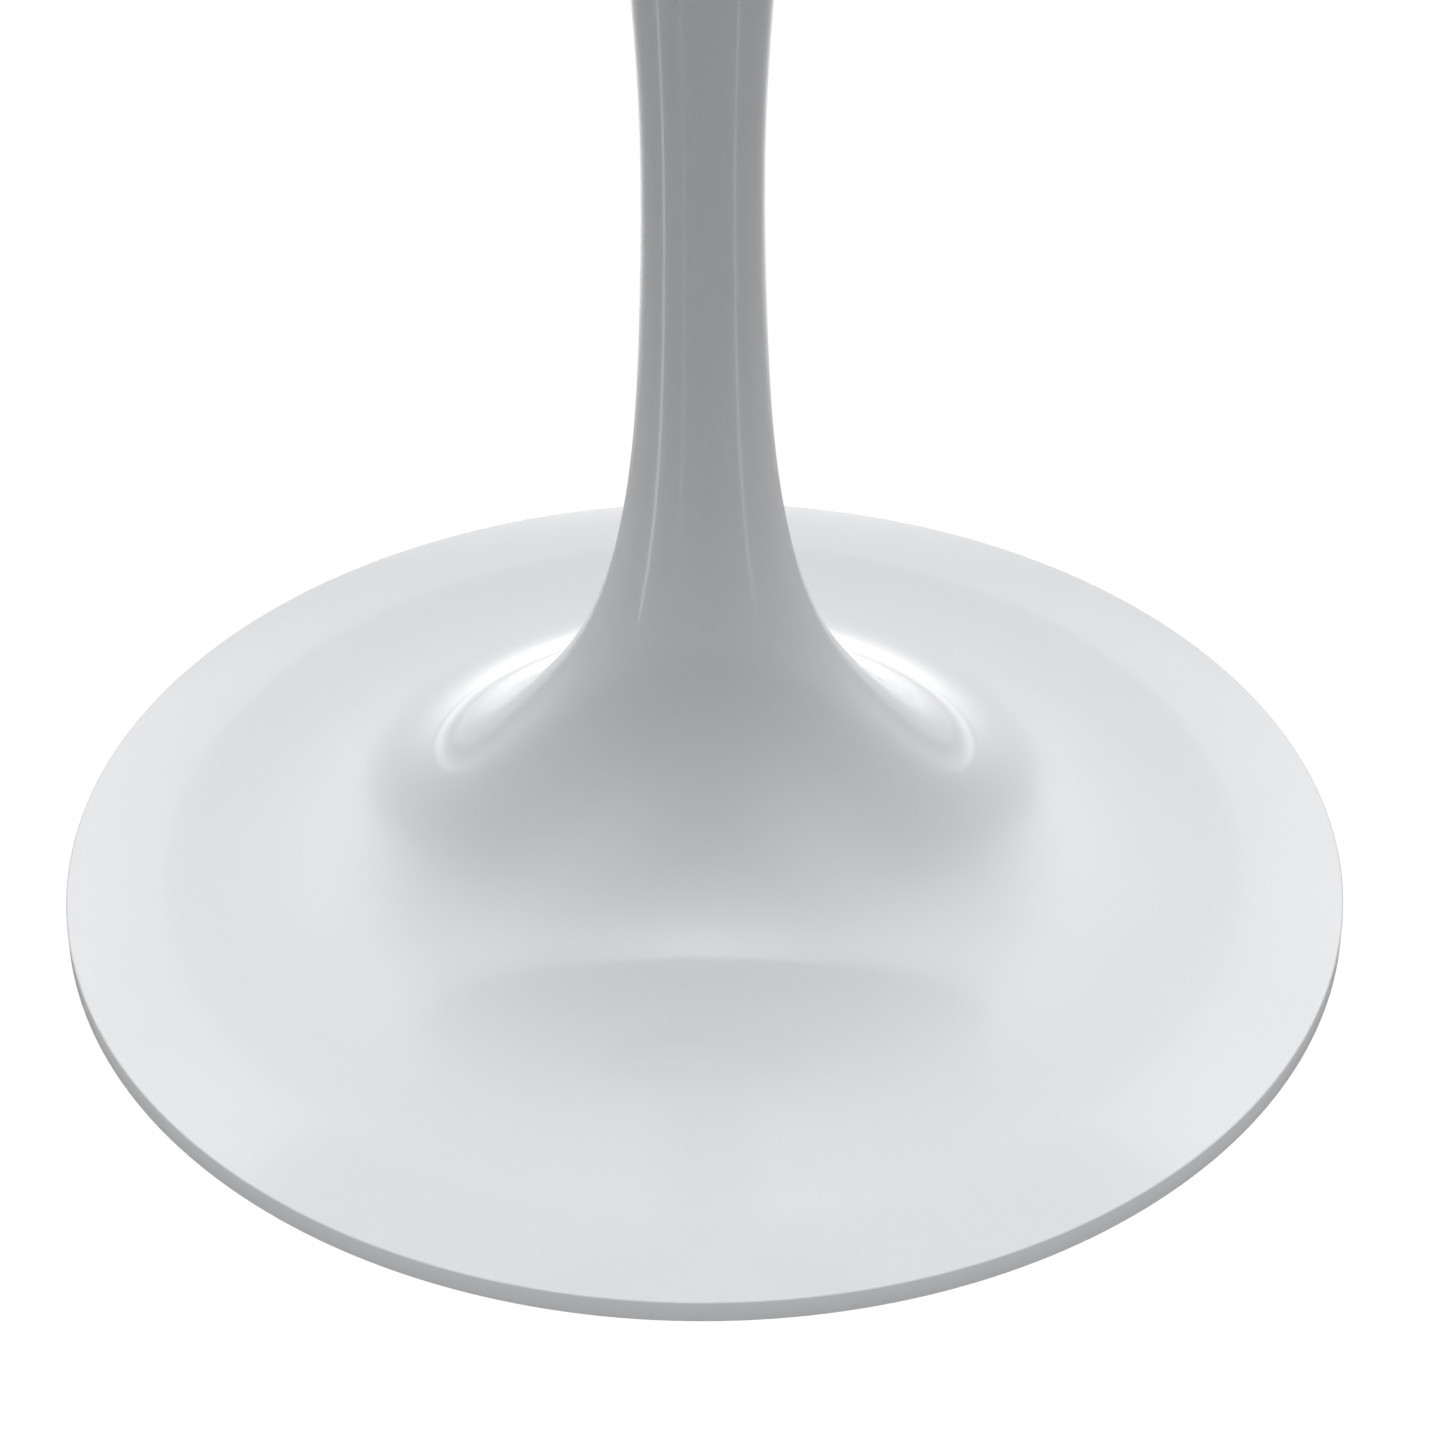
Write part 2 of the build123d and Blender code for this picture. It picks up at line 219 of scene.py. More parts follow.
def makeRubbedEdges():  # where an edge turns within the given width, broken up by noise, as a mask
    group, start, end = newGroup(
        "rubbedEdges",
        [("Vector", "NodeSocketVector", None), ("Width", "NodeSocketFloat", 0.0006),
         ("Amount", "NodeSocketFloat", 0.5)],
        [("Mask", "NodeSocketFloat")])
    softened = addNode(group, "ShaderNodeBevel", samples=4)
    geometry = addNode(group, "ShaderNodeNewGeometry")
    turnOf = addNode(group, "ShaderNodeVectorMath", operation="DOT_PRODUCT")
    edge = addNode(group, "ShaderNodeMapRange")
    setInputs(edge, From_Min=0.995, From_Max=0.86)
    rubs = addNode(group, "ShaderNodeTexNoise")
    setInputs(rubs, Scale=260.0, Detail=4.0, Roughness=0.7)
    broken = addNode(group, "ShaderNodeMapRange")
    setInputs(broken, From_Min=0.38, From_Max=0.62)
    both = calculate(group, "MULTIPLY", edge.outputs["Result"], broken.outputs["Result"])
    mask = calculate(group, "MULTIPLY", both, start.outputs["Amount"], clamp=True)
    links = group.links
    links.new(start.outputs["Width"], softened.inputs["Radius"])
    links.new(softened.outputs["Normal"], turnOf.inputs[0])
    links.new(geometry.outputs["Normal"], turnOf.inputs[1])
    links.new(turnOf.outputs["Value"], edge.inputs["Value"])
    links.new(start.outputs["Vector"], rubs.inputs["Vector"])
    links.new(rubs.outputs["Fac"], broken.inputs["Value"])
    links.new(mask, end.inputs["Mask"])
    return group


orangePeel = makeOrangePeel()
dustVeil = makeDustVeil()
mottle = makeMottle()
rubbedEdges = makeRubbedEdges()


# finishes

def lacquer(name, s):  # sprayed gloss white under a clear coat
    mat, tree = newMaterial(name)
    vector = coordinates(tree)
    tone = placeGroup(tree, mottle, Scale=s["toneScale"], Light=s["light"], Dark=s["dark"],
                      Smooth=s["smooth"], Rough=s["rough"])
    dust = placeGroup(tree, dustVeil, Amount=s["dust"])
    peel = placeGroup(tree, orangePeel, Ripple=s["ripple"], Waviness=s["waviness"])
    dusty = addNode(tree, "ShaderNodeMix", data_type="RGBA")
    dusty.inputs["B"].default_value = s["dustColour"]
    dullness = calculate(tree, "ADD", tone.outputs["Roughness"], dust.outputs["Mask"], clamp=True)
    bump = addNode(tree, "ShaderNodeBump")
    setInputs(bump, Strength=s["bump"], Distance=0.001)
    shader = addNode(tree, "ShaderNodeBsdfPrincipled")
    setInputs(shader, IOR=s["ior"], Coat_Weight=s["coat"], Coat_Roughness=s["coatRoughness"])
    out = addNode(tree, "ShaderNodeOutputMaterial")
    links = tree.links
    for group in (tone, dust, peel):
        links.new(vector, group.inputs["Vector"])
    links.new(tone.outputs["Color"], dusty.inputs["A"])
    links.new(dust.outputs["Mask"], dusty.inputs["Factor"])
    links.new(dusty.outputs["Result"], shader.inputs["Base Color"])
    links.new(dullness, shader.inputs["Roughness"])
    links.new(peel.outputs["Height"], bump.inputs["Height"])
    links.new(bump.outputs["Normal"], shader.inputs["Normal"])
    links.new(shader.outputs["BSDF"], out.inputs["Surface"])
    return mat


def grained(name, s):  # plated, cast, coated or moulded: mottled tone, a fine grain and rubbed edges
    mat, tree = newMaterial(name)
    vector = coordinates(tree)
    tone = placeGroup(tree, mottle, Scale=s["toneScale"], Light=s["light"], Dark=s["dark"],
                      Smooth=s["smooth"], Rough=s["rough"])
    edges = placeGroup(tree, rubbedEdges, Width=s["edgeWidth"], Amount=s["edgeAmount"])
    rubbed = addNode(tree, "ShaderNodeMix", data_type="RGBA")
    rubbed.inputs["B"].default_value = s["edgeColour"]
    grain = addNode(tree, "ShaderNodeTexNoise")
    setInputs(grain, Scale=s["grainScale"], Detail=3.0, Roughness=0.6)
    bump = addNode(tree, "ShaderNodeBump")
    setInputs(bump, Strength=s["bump"], Distance=0.0005)
    shader = addNode(tree, "ShaderNodeBsdfPrincipled")
    setInputs(shader, Metallic=s["metallic"])
    out = addNode(tree, "ShaderNodeOutputMaterial")
    links = tree.links
    links.new(vector, tone.inputs["Vector"])
    links.new(vector, edges.inputs["Vector"])
    links.new(coordinates(tree, scale=s["grainStretch"]), grain.inputs["Vector"])
    links.new(grain.outputs["Fac"], bump.inputs["Height"])
    links.new(tone.outputs["Color"], rubbed.inputs["A"])
    links.new(edges.outputs["Mask"], rubbed.inputs["Factor"])
    links.new(rubbed.outputs["Result"], shader.inputs["Base Color"])
    links.new(tone.outputs["Roughness"], shader.inputs["Roughness"])
    links.new(bump.outputs["Normal"], shader.inputs["Normal"])
    links.new(shader.outputs["BSDF"], out.inputs["Surface"])
    return mat


finishes = {
    "white_lacquer_metal": lacquer("coolWhiteLacquer", {
        "light": (0.80, 0.81, 0.83, 1), "dark": (0.79, 0.80, 0.82, 1), "toneScale": 6.0,
        "smooth": 0.22, "rough": 0.26, "dust": 0.01, "dustColour": (0.62, 0.61, 0.59, 1),
        "ripple": 0.02, "waviness": 0.6, "bump": 0.25, "ior": 1.5, "coat": 0.6, "coatRoughness": 0.07}),
    "white_lacquer_board": lacquer("boardLacquer", {
        "light": (0.81, 0.815, 0.83, 1), "dark": (0.785, 0.79, 0.81, 1), "toneScale": 5.0,
        "smooth": 0.20, "rough": 0.25, "dust": 0.01, "dustColour": (0.62, 0.61, 0.59, 1),
        "ripple": 0.02, "waviness": 0.3, "bump": 0.25, "ior": 1.5, "coat": 0.5, "coatRoughness": 0.06}),
    "black_steel": grained("blackPowderCoat", {
        "light": (0.030, 0.030, 0.032, 1), "dark": (0.018, 0.018, 0.019, 1), "toneScale": 30.0,
        "smooth": 0.42, "rough": 0.6, "metallic": 0.0, "grainStretch": (1, 1, 1), "grainScale": 900.0,
        "bump": 0.35, "edgeWidth": 0.0007, "edgeAmount": 0.5, "edgeColour": (0.10, 0.10, 0.10, 1)}),
    "zinc_steel": grained("zincPlate", {
        "light": (0.66, 0.67, 0.69, 1), "dark": (0.47, 0.48, 0.50, 1), "toneScale": 160.0,
        "smooth": 0.22, "rough": 0.4, "metallic": 1.0, "grainStretch": (1, 1, 4), "grainScale": 1400.0,
        "bump": 0.12, "edgeWidth": 0.0003, "edgeAmount": 0.6, "edgeColour": (0.78, 0.78, 0.79, 1)}),
    "brass_insert": grained("plainBrass", {
        "light": (0.74, 0.58, 0.30, 1), "dark": (0.54, 0.40, 0.18, 1), "toneScale": 200.0,
        "smooth": 0.25, "rough": 0.45, "metallic": 1.0, "grainStretch": (1, 1, 3), "grainScale": 1500.0,
        "bump": 0.12, "edgeWidth": 0.0003, "edgeAmount": 0.5, "edgeColour": (0.85, 0.70, 0.42, 1)}),
    "grey_iron": grained("castIron", {
        "light": (0.125, 0.125, 0.13, 1), "dark": (0.06, 0.06, 0.062, 1), "toneScale": 60.0,
        "smooth": 0.55, "rough": 0.85, "metallic": 0.35, "grainStretch": (1, 1, 1), "grainScale": 420.0,
        "bump": 0.9, "edgeWidth": 0.001, "edgeAmount": 0.4, "edgeColour": (0.24, 0.23, 0.22, 1)}),
    "black_rubber": grained("blackRubber", {
        "light": (0.024, 0.024, 0.024, 1), "dark": (0.014, 0.014, 0.014, 1), "toneScale": 90.0,
        "smooth": 0.65, "rough": 0.85, "metallic": 0.0, "grainStretch": (1, 1, 1), "grainScale": 1600.0,
        "bump": 0.3, "edgeWidth": 0.0003, "edgeAmount": 0.3, "edgeColour": (0.05, 0.05, 0.05, 1)}),
    "black_plastic": grained("blackMoulding", {
        "light": (0.034, 0.034, 0.035, 1), "dark": (0.024, 0.024, 0.025, 1), "toneScale": 50.0,
        "smooth": 0.4, "rough": 0.52, "metallic": 0.0, "grainStretch": (1, 1, 1), "grainScale": 1100.0,
        "bump": 0.25, "edgeWidth": 0.0004, "edgeAmount": 0.3, "edgeColour": (0.08, 0.08, 0.08, 1)}),
    "grey_nylon": grained("greyNylon", {
        "light": (0.56, 0.565, 0.57, 1), "dark": (0.47, 0.475, 0.48, 1), "toneScale": 80.0,
        "smooth": 0.38, "rough": 0.55, "metallic": 0.0, "grainStretch": (1, 1, 1), "grainScale": 1200.0,
        "bump": 0.2, "edgeWidth": 0.0004, "edgeAmount": 0.4, "edgeColour": (0.36, 0.36, 0.355, 1)}),
}
print("finishes made:", len(finishes))


def giveFinish(obj, slotName):
    obj.data.materials.clear()
    obj.data.materials.append(finishes[slotName])


slotOf = {part["node"]: part["material_slot"] for part in record["subparts"]}
for name, node in nodes.items():
    giveFinish(node, slotOf[name])


# shaping helpers: each works on a bmesh that is finished as one piece

hair = 1e-6  # counts as nothing: metres between two points, or a number to divide by
sunk = 0.00005  # how deep a thread's ridge sits in the core it is wound on
threadDepth = 0.55  # of the pitch
ridge = (0, 0.32, 0.45, 0.77)  # heights of the four corners of a thread's ridge, of the pitch
ridgeEnd = 0.6  # turns left off, so that the ridge ends inside its stretch


def vertsIn(geom):
    return [v for v in geom if isinstance(v, bmesh.types.BMVert)]


def levelEdgesIn(geom):
    return [e for e in geom if isinstance(e, bmesh.types.BMEdge) and abs(e.verts[0].co.z - e.verts[1].co.z) < hair]


def edgesAt(verts):
    return list(dict.fromkeys(edge for vert in verts for edge in vert.link_edges))  # each edge once, in order


def addCircle(bm, segments, radius, height, filled=False):
    return bmesh.ops.create_circle(bm, cap_ends=filled, segments=segments, radius=radius,
                                   matrix=Matrix.Translation((0, 0, height)))["verts"]


def spinOutline(bm, outline, steps, closed=True):  # (radius, height) points, spun round the Z axis
    verts = [bm.verts.new((r, 0, z)) for r, z in outline]
    edges = [bm.edges.new(pair) for pair in zip(verts, verts[1:])]
    if closed:
        edges.append(bm.edges.new((verts[-1], verts[0])))
    bmesh.ops.spin(bm, geom=verts + edges, cent=(0, 0, 0), axis=(0, 0, 1), dvec=(0, 0, 0),
                   angle=math.tau, steps=steps, use_merge=True)


def addThread(bm, core, crest, pitch, bottom, top, steps=24):  # a helical ridge wound up a round core
    verts = [bm.verts.new((r, 0, bottom + pitch * up)) for r, up in zip((core, crest, crest, core), ridge)]
    start = bm.faces.new(verts)
    count = round(steps * ((top - bottom) / pitch - ridgeEnd))
    bmesh.ops.spin(bm, geom=[start] + start.edges[:] + verts, cent=(0, 0, 0), axis=(0, 0, 1),
                   dvec=(0, 0, pitch / steps), angle=math.tau * count / steps, steps=count, use_merge=False)


def addHexagon(bm, acrossFlats, bottom, top, bevel, bore=0):
    ring = edgesAt(addCircle(bm, 6, acrossFlats / math.sqrt(3), bottom))
    if bore:
        ring += edgesAt(addCircle(bm, 30, bore, bottom))
        faces = bmesh.ops.bridge_loops(bm, edges=ring)["faces"]
    else:
        faces = bmesh.ops.contextual_create(bm, geom=ring)["faces"]
    made = bmesh.ops.extrude_face_region(bm, geom=faces, use_keep_orig=True)["geom"]
    bmesh.ops.translate(bm, verts=vertsIn(made), vec=(0, 0, top - bottom))
    reach = acrossFlats / 2 * 0.98  # beyond the bore and a thread, so only the outer edges are bevelled
    rims = [e for e in levelEdgesIn(bm.edges)
            if all(v.co.xy.length > reach and bottom - hair < v.co.z < top + hair for v in e.verts)]
    bmesh.ops.bevel(bm, geom=rims, offset=bevel, segments=2, profile=0.5, affect="EDGES", material=-1)


def addSocket(bm, acrossFlats, low, depth, mouth, steps):  # a hexagonal hole that opens downwards in a round face
    hexagon = addCircle(bm, 6, acrossFlats / math.sqrt(3), low + depth, filled=True)
    walls = bmesh.ops.extrude_edge_only(bm, edges=edgesAt(hexagon))["geom"]
    bmesh.ops.translate(bm, verts=vertsIn(walls), vec=(0, 0, -depth))
    bmesh.ops.bridge_loops(bm, edges=levelEdgesIn(walls) + edgesAt(addCircle(bm, steps, mouth, low)))


socketHead = {
    "mouth": 0.66,  # of the socket's width
    "socketDepth": 0.55,  # of the head's height
    "outline": [(0.80, 0), (0.93, 0.08), (1, 0.28), (1, 0.96), (0.985, 1)],  # of its radius and of its height
    "steps": 30,
    "runOut": 0.3,  # of the pitch
    "point": 0.35,  # of the core's radius
    "threadEnd": 0.3,  # of it too
}


def addSocketHead(bm, s):  # a round head that hangs below its seat, with a hexagonal socket in its lower face
    seat, height, radius, head = s["seat"], s["headHeight"], s["head"], socketHead
    low, mouth, steps = seat - height, s["socket"] * head["mouth"], head["steps"]
    addSocket(bm, s["socket"], low, height * head["socketDepth"], mouth, steps)
    shank, tip, threadStart = s["shank"], seat + s["length"], seat + s["plain"]
    core = shank - s["pitch"] * threadDepth
    point = core * head["point"]
    outline = [(mouth, low)] + [(radius * across, low + height * up) for across, up in head["outline"]]
    outline += [(shank, seat), (shank, threadStart), (core, threadStart + s["pitch"] * head["runOut"]),
                (core, tip - point), (core - point, tip), (0, tip)]
    spinOutline(bm, outline, steps, closed=False)
    addThread(bm, core - sunk, shank, s["pitch"], threadStart, tip - core * head["threadEnd"])


def placeRound(bm, ring):  # copies of all that is in the bmesh, on a ring given as radius, count and first angle
    radius, count, first = ring
    original = bm.verts[:] + bm.edges[:] + bm.faces[:]
    for i in range(count):
        angle = math.radians(first) + math.tau * i / count
        made = bmesh.ops.duplicate(bm, geom=original)["geom"]
        spot = Matrix.Rotation(angle, 4, "Z") @ Matrix.Translation((radius, 0, 0))
        bmesh.ops.transform(bm, matrix=spot, verts=vertsIn(made))
    bmesh.ops.delete(bm, geom=vertsIn(original), context="VERTS")


def finishPiece(bm, name, body, slotName, stands, sharpAngle=35):
    bmesh.ops.remove_doubles(bm, verts=bm.verts, dist=hair)
    bmesh.ops.recalc_face_normals(bm, faces=bm.faces)
    mesh = bpy.data.meshes.new(name)
    bm.to_mesh(mesh)
    bm.free()
    for polygon in mesh.polygons:
        polygon.use_smooth = True
    mesh.set_sharp_from_angle(angle=math.radians(sharpAngle))
    piece = bpy.data.objects.new(name, mesh)
    bpy.context.scene.collection.objects.link(piece)
    giveFinish(piece, slotName)
    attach(piece, body)
    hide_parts(*stands)
    return piece


def arc(centre, radius, first, last, steps):  # (radius, height) points, angles in degrees from outwards to up
    turns = [math.radians(first + (last - first) * i / (steps - 1)) for i in range(steps)]
    return [(centre[0] + radius * math.cos(a), centre[1] + radius * math.sin(a)) for a in turns]


def curveOutline(points, perSpan):  # (radius, height) control points of a smooth curve, as points along it
    data = bpy.data.curves.new("outline", "CURVE")
    data.dimensions = "3D"
    spline = data.splines.new("NURBS")
    spline.points.add(len(points) - 1)
    for point, (r, z) in zip(spline.points, points):
        point.co = (r, 0, z, 1)
    spline.use_endpoint_u = True
    spline.order_u = 4
    spline.resolution_u = perSpan
    holder = bpy.data.objects.new("outline", data)
    mesh = bpy.data.meshes.new_from_object(holder)
    line = [(v.co.x, v.co.z) for v in mesh.vertices]
    bpy.data.objects.remove(holder)
    bpy.data.curves.remove(data)
    bpy.data.meshes.remove(mesh)
    return line


def inset(line, depth):  # the same line, moved square to itself into the metal
    moved = []
    for i, (r, z) in enumerate(line):
        (r0, z0), (r1, z1) = line[max(i - 1, 0)], line[min(i + 1, len(line) - 1)]
        along = Vector((r1 - r0, z1 - z0)).normalized()
        moved.append((r - along.y * depth, z + along.x * depth))
    return moved


# the pedestal: rim, foot disc, stem and mouth in one seamless skin, with bosses inside for the weight's screws

pedestal = {
    "rimTop": 0.0128,
    "rimRound": 0.0009,
    "rimWidth": 0.004,
    "rimRise": 0.0005,  # how much thinner than the wall the rim's roof is
    "wall": 0.003,
    "mouthWall": 0.00366,  # the wall at the mouth, measured level
    "innerEvery": 3,  # the inside takes every third point of the curve
    "innerStop": 0.002,  # and ends this far below the mouth
    "band": (0.241, 0.0182),  # where the flat outer band meets the curve
    "bandBlend": 0.0024,
    "curve": [(0.2386, 0.01832), (0.21988, 0.01915), (0.18843, 0.02057), (0.15359, 0.02753),
              (0.12262, 0.04366), (0.09723, 0.06855), (0.06987, 0.1024), (0.05098, 0.13558),
              (0.03825, 0.17474), (0.0307, 0.21925), (0.02686, 0.27138), (0.02534, 0.34042),
              (0.02599, 0.39985), (0.0309, 0.46982), (0.03708, 0.54068), (0.04419, 0.59175),
              (0.0539, 0.63306), (0.0703, 0.66892), (0.08649, 0.6920), (0.09541, 0.7035)],
    "perSpan": 13,
    "turns": 256,
    "bossRing": (0.150, 6, 0),
    "boss": 0.009,
    "bossBottom": 0.013,
    "bossTop": 0.0275,
}


def makePedestal(s):
    low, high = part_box("pedestal_shell")
    radius, bottom, top = high.x, low.z, high.z
    soft = s["rimRound"]
    band = Vector(s["band"])
    toBand = (band - Vector((radius, s["rimTop"]))).normalized()
    curve = curveOutline(s["curve"], s["perSpan"])
    blendStart = band + -toBand * s["bandBlend"]
    blendEnd = Vector(curve[0])
    blend = [tuple(blendStart.lerp(band, t).lerp(band.lerp(blendEnd, t), t)) for t in (0, 0.2, 0.4, 0.6, 0.8)]
    slope = math.degrees(math.atan2(toBand.y, -toBand.x))
    rim = arc((radius - soft, bottom + soft), soft, -90, 0, 5)
    rim += arc((radius - soft, s["rimTop"] - soft * 0.93), soft, 0, 90 - slope, 7)
    curve[-1] = (curve[-1][0], top)
    inner = [p for p in inset(curve, s["wall"])[::s["innerEvery"]] if p[1] < top - s["innerStop"]]
    mouth = [(curve[-1][0] - s["mouthWall"], top)]
    rimInner = radius - s["rimWidth"]
    under = [(rimInner, s["rimTop"] - s["wall"] + s["rimRise"]), (rimInner, bottom)]
    bm = bmesh.new()
    spinOutline(bm, rim + blend + curve + mouth + inner[::-1] + under, s["turns"])
    bosses = bmesh.new()
    depth = s["bossTop"] - s["bossBottom"]
    bmesh.ops.create_cone(bosses, cap_ends=True, segments=32, radius1=s["boss"], radius2=s["boss"], depth=depth,
                          matrix=Matrix.Translation((0, 0, s["bossBottom"] + depth / 2)))
    placeRound(bosses, s["bossRing"])
    cast = bpy.data.meshes.new("bosses")
    bosses.to_mesh(cast)
    bosses.free()
    bm.from_mesh(cast)
    bpy.data.meshes.remove(cast)
    finishPiece(bm, "pedestal", "table", "white_lacquer_metal", ["pedestal_shell"], sharpAngle=50)


makePedestal(pedestal)
print("pedestal made")


# the top: a lacquered board with an undercut edge, and blind holes for the threaded inserts

board = {
    "edgeHeight": 0.010,
    "bevelWidth": 0.050,
    "edgeRound": 0.0025,
    "flatStart": 0.003,  # from the rounded edge to the first ring of the flat surface
    "kneeSoft": 0.0012,
    "turns": 256,
    "insertRing": (0.135, 8, 0),
    "insert": 0.005,
    "insertFlange": 0.0065,
    "flangeDepth": 0.001,
    "insertDepth": 0.014,
    "drillStart": 0.002,  # how far below the board the holes' cutter begins
    "sharpAngle": 40,
}


def makeBoard(s):
    low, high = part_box("table_top")
    radius, bottom, surface = high.x, low.z, high.z
    r = s["edgeRound"]
    lip = (radius, surface - s["edgeHeight"])
    foot = (radius - s["bevelWidth"], bottom)
    lean = math.degrees(math.atan2(lip[1] - foot[1], s["bevelWidth"]))
    setback = r * math.tan(math.radians(90 - lean) / 2)
    soft = s["kneeSoft"]
    under = [(0, bottom), (foot[0] - soft * 3, bottom), (foot[0] - soft, bottom),
             (foot[0] + soft, bottom + soft * 0.2)]
    lower = arc((radius - r, lip[1] + setback), r, lean - 90, 0, 7)
    upper = arc((radius - r, surface - r), r, 0, 90, 9)
    over = [(radius - r - s["flatStart"], surface), (0, surface)]
    bm = bmesh.new()
    spinOutline(bm, under + lower + upper + over, s["turns"], closed=False)
    piece = finishPiece(bm, "topBoard", "table", "white_lacquer_board", ["table_top"],
                        sharpAngle=s["sharpAngle"])
    holes = bmesh.new()
    outside, step, end = bottom - s["drillStart"], bottom + s["flangeDepth"], bottom + s["insertDepth"]
    spinOutline(holes, [(0, outside), (s["insertFlange"], outside), (s["insertFlange"], step), (s["insert"], step),
                        (s["insert"], end), (0, end)], 24, closed=False)
    bmesh.ops.remove_doubles(holes, verts=holes.verts, dist=hair)
    placeRound(holes, s["insertRing"])
    bmesh.ops.recalc_face_normals(holes, faces=holes.faces)
    drill = bpy.data.meshes.new("drill")
    holes.to_mesh(drill)
    holes.free()
    cutter = bpy.data.objects.new("drill", drill)
    bpy.context.scene.collection.objects.link(cutter)
    cut = piece.modifiers.new("holes", "BOOLEAN")
    cut.object = cutter
    cut.operation = "DIFFERENCE"
    cut.solver = "EXACT"
    graph = bpy.context.evaluated_depsgraph_get()
    drilled = bpy.data.meshes.new_from_object(piece.evaluated_get(graph))
    drilled.set_sharp_from_angle(angle=math.radians(s["sharpAngle"]))
    piece.modifiers.remove(cut)
    plain = piece.data
    piece.data = drilled
    drilled.name = "topBoard"
    bpy.data.objects.remove(cutter)
    bpy.data.meshes.remove(plain)
    bpy.data.meshes.remove(drill)


makeBoard(board)
print("top made")


# fixings

topScrews = {
    "ring": (0.135, 8, 0), "shank": 0.003, "head": 0.00525, "headHeight": 0.0033, "length": 0.020,
    "plain": 0.008, "socket": 0.004, "pitch": 0.001,
}
ballastScrews = {
    "ring": (0.150, 6, 0), "shank": 0.004, "head": 0.0065, "headHeight": 0.0032, "length": 0.013,
    "plain": 0.003, "socket": 0.005, "pitch": 0.00125,
}


def makeScrews(name, node, s):
    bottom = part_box(node)[0].z
    bm = bmesh.new()
    addSocketHead(bm, dict(s, seat=bottom + s["headHeight"]))
    placeRound(bm, s["ring"])
    finishPiece(bm, name, "table", "zinc_steel", [node])


makeScrews("topScrewsThreaded", "top_screws", topScrews)
makeScrews("ballastScrewsThreaded", "ballast_screws", ballastScrews)

washers = {
    "top_screw_washers": {"ring": (0.135, 8, 0), "outer": 0.00625, "bore": 0.00315, "soft": 0.0002},
    "ballast_washers": {"ring": (0.150, 6, 0), "outer": 0.008, "bore": 0.00415, "soft": 0.0002},
    "lower_washer": {"ring": None, "outer": 0.018, "bore": 0.0065, "soft": 0.0003},
}


def makeWasher(node, s):
    low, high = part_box(node)
    outer, bore, soft, z0, z1 = s["outer"], s["bore"], s["soft"], low.z, high.z
    bm = bmesh.new()
    spinOutline(bm, [(bore, z0 + soft), (bore + soft, z0), (outer - soft * 2, z0), (outer, z0 + soft * 2),
                     (outer, z1 - soft), (outer - soft, z1), (bore + soft, z1), (bore, z1 - soft)], 40)
    if s["ring"]:
        placeRound(bm, s["ring"])
    finishPiece(bm, node + "_turned", "table", "zinc_steel", [node])


for node, values in washers.items():
    makeWasher(node, values)

coverScrews = {
    "ring": (0.252, 6, 15), "head": 0.004, "headSoft": 0.0002, "headSlope": 0.9, "shank": 0.002,
    "socket": 0.0025, "socketDepth": 0.0013, "mouth": 0.68, "pitch": 0.0007, "threadDepth": 0.5, "sunk": 0.00003,
    "runOut": 0.0004, "point": 0.0006, "pointWidth": 0.7, "threadEnd": 0.0004, "steps": 24, "threadSteps": 20,
}


def makeCoverScrews(s):
    low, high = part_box("cover_screws")
    z0, z1 = low.z, high.z
    mouth, steps, soft = s["socket"] * s["mouth"], s["steps"], s["headSoft"]
    neck = z0 + (s["head"] - s["shank"]) * s["headSlope"]
    core = s["shank"] - s["pitch"] * s["threadDepth"]
    bm = bmesh.new()
    addSocket(bm, s["socket"], z0, s["socketDepth"], mouth, steps)
    spinOutline(bm, [(mouth, z0), (s["head"] - soft, z0), (s["head"], z0 + soft), (s["shank"], neck),
                     (core, neck + s["runOut"]), (core, z1 - s["point"]), (core * s["pointWidth"], z1), (0, z1)],
                steps, closed=False)
    addThread(bm, core - s["sunk"], s["shank"], s["pitch"], neck, z1 - s["threadEnd"], steps=s["threadSteps"])
    placeRound(bm, s["ring"])
    finishPiece(bm, "coverScrewsThreaded", "table", "zinc_steel", ["cover_screws"])


makeCoverScrews(coverScrews)

tieRod = {
    "radius": 0.006, "pitch": 0.00175, "chamfer": 0.0006, "threadEnd": 0.0003, "lowerThread": 0.045,
    "upperThread": 0.050, "runOut": 0.0009, "plainCut": 0.0003, "steps": 32,
}


def makeTieRod(s):
    low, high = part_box("tie_rod")
    r, z0, z1 = s["radius"], low.z, high.z
    core = r - s["pitch"] * threadDepth
    bottomEnd, topEnd = z0 + s["lowerThread"], z1 - s["upperThread"]
    cut, out, plain = s["chamfer"], s["runOut"], r - s["plainCut"]
    bm = bmesh.new()
    spinOutline(bm, [(0, z0), (core - cut, z0), (core, z0 + cut), (core, bottomEnd), (plain, bottomEnd + out),
                     (plain, topEnd - out), (core, topEnd), (core, z1 - cut), (core - cut, z1), (0, z1)],
                s["steps"], closed=False)
    addThread(bm, core - sunk, r, s["pitch"], z0 + s["threadEnd"], bottomEnd)
    addThread(bm, core - sunk, r, s["pitch"], topEnd, z1 - s["threadEnd"])
    finishPiece(bm, "tieRodThreaded", "table", "zinc_steel", ["tie_rod"])


makeTieRod(tieRod)

rodNuts = {"flats": 0.019, "bore": 0.00605, "bevel": 0.0006}
for node in ("lower_nut", "upper_jam_nut"):
    low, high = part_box(node)
    bm = bmesh.new()
    addHexagon(bm, rodNuts["flats"], low.z, high.z, rodNuts["bevel"], rodNuts["bore"])
    finishPiece(bm, node + "_chamfered", "table", "zinc_steel", [node], sharpAngle=25)
print("fixings made")


# underside: the plastic cap in the middle of the cover

